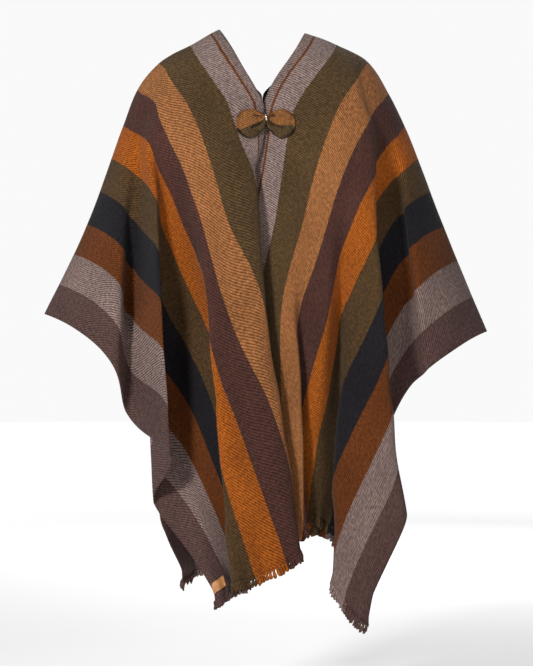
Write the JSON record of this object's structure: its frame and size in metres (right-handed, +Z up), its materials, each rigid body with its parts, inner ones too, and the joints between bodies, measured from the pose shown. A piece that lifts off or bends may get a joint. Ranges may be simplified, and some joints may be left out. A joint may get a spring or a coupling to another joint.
{
  "type": "open-front striped poncho",
  "caption": "Woven wool poncho with long vertical stripes, worn open down the front, closed at the throat by cloth tabs and a metal ring, with short fringed hems.",
  "frame": {"origin": "middle of the neck at the height of the shoulder ridge, where the wearer's shoulders hold the garment up", "axes": "+Z up along the garment's length, -Y the way the front faces, +X the wearer's left"},
  "size_m": [0.8408, 0.5182, 1.1235],
  "materials": {
    "wool_right": "woven twill, striped",
    "wool_left": "woven twill, striped",
    "fringe_wool": "loose warp ends",
    "tab_wool": "woven twill",
    "ring_metal": "polished",
    "patch_leather": "smooth"
  },
  "bodies": {
    "root": {"panel_right": "wool_right", "panel_left": "wool_left", "fringe_front_right": "fringe_wool", "fringe_back_right": "fringe_wool", "fringe_front_left": "fringe_wool", "fringe_back_left": "fringe_wool", "tab_right": "tab_wool", "tab_left": "tab_wool", "clasp_ring": "ring_metal", "label_patch": "patch_leather"}
  },
  "joints": []
}
